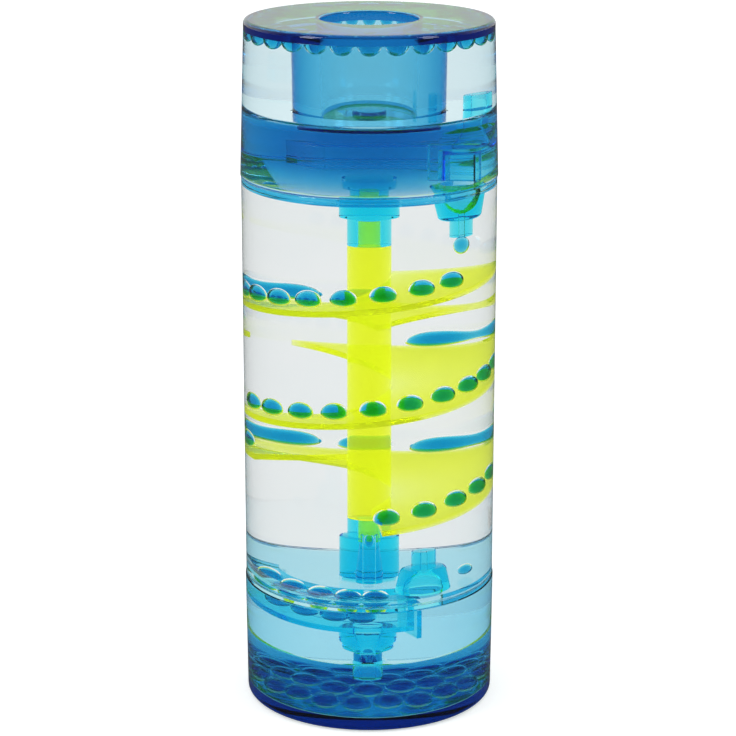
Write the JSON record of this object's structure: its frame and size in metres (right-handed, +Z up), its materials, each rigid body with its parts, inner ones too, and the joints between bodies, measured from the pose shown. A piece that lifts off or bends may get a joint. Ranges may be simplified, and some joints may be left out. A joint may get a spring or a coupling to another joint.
{
  "type": "liquid motion timer",
  "caption": "Sealed clear cylinder with blue end chambers, in which drops of blue water fall from a funnel and run down lime spiral ramps through clear oil.",
  "frame": {"origin": "centre of the underside, on the cylinder's axis", "axes": "+Z up along the cylinder's axis, towards the lid with the well; -Y faces the camera of the picture"},
  "size_m": [0.0512, 0.0512, 0.1397],
  "materials": {
    "clear_plastic": "polished clear",
    "blue_plastic": "polished clear, tinted blue",
    "lime_plastic": "polished clear, tinted lime",
    "blue_water": "dyed water"
  },
  "bodies": {
    "housing": {"middle_tube": "clear_plastic", "lower_cup": "blue_plastic", "upper_cup": "blue_plastic", "lid": "blue_plastic", "filler_plug": "blue_plastic", "lower_partition": "blue_plastic", "upper_partition": "blue_plastic", "lower_drip_funnel": "blue_plastic", "upper_drip_funnel": "blue_plastic", "vent_pipe": "blue_plastic", "lower_gutter": "blue_plastic", "upper_gutter": "blue_plastic", "lower_drain": "blue_plastic", "upper_drain": "blue_plastic", "spiral_post": "lime_plastic", "ramp_upper": "lime_plastic", "ramp_middle": "lime_plastic", "ramp_lower": "lime_plastic", "vent_drop": "blue_water", "hanging_drops": "blue_water", "settled_drops": "blue_water", "lower_pool": "blue_water", "upper_pool": "blue_water"},
    "falling_drop": {"falling_drop": "blue_water"},
    "floor_drop": {"floor_drop": "blue_water"},
    "ramp_drops": {"upper_ramp_drops": "blue_water", "middle_ramp_drops": "blue_water", "lower_ramp_drops": "blue_water"},
    "gutter_drops": {"gutter_drops": "blue_water"}
  },
  "joints": [
    {"name": "drop_fall", "type": "slide", "parent": "housing", "child": "falling_drop", "axis": [0, 0, -1], "range_m": [0, 0.0036]},
    {"name": "drop_run", "type": "hinge", "parent": "housing", "child": "floor_drop", "pos_m": [0, 0, 0.0272], "axis": [0, 0, -1], "range_deg": [-15, 5]},
    {"name": "drop_sink", "type": "slide", "parent": "floor_drop", "child": "ramp_drops", "axis": [0, 0, -1], "range_m": [-0.00059, 0.0002]},
    {"name": "gutter_run", "type": "hinge", "parent": "housing", "child": "gutter_drops", "pos_m": [0, 0, 0.0272], "axis": [0, 0, 1], "range_deg": [-15, 5]}
  ],
  "couplings": [
    {"joint": "drop_sink", "follows": "drop_run", "m_per_rad": 0.0022441},
    {"joint": "gutter_run", "follows": "drop_run", "ratio": 1}
  ]
}
